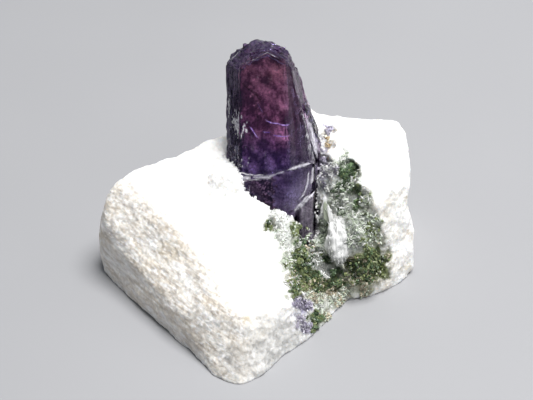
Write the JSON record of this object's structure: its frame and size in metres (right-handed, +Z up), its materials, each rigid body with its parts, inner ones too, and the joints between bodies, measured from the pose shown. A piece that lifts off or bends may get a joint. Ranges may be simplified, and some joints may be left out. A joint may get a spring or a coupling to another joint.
{
  "type": "scapolite crystal on marble matrix",
  "caption": "Purple scapolite crystal standing in a loose block of white marble, with a crust of green diopside grains in the hollow at its foot.",
  "frame": {"origin": "centre of the bounding box on the flat underside that the specimen rests on", "axes": "+Z up; -Y is the front, with the hollow and the crystal's broad face; +X to the right seen from the front"},
  "size_m": [0.039, 0.0364, 0.0272],
  "materials": {
    "marble": "sugary broken white marble, slightly translucent",
    "scapolite": "glossy transparent dark purple crystal",
    "diopside": "small glassy bottle-green grains",
    "granular_scapolite": "pale violet sugary grains",
    "phlogopite": "brown mica flakes"
  },
  "bodies": {
    "root": {"marble_matrix": "marble", "scapolite_crystal": "scapolite", "diopside_crust": "diopside", "diopside_grain": "diopside", "scapolite_grains_lower": "granular_scapolite", "scapolite_grains_upper": "granular_scapolite", "scapolite_grain_back": "granular_scapolite", "phlogopite_grain": "phlogopite"}
  },
  "joints": []
}
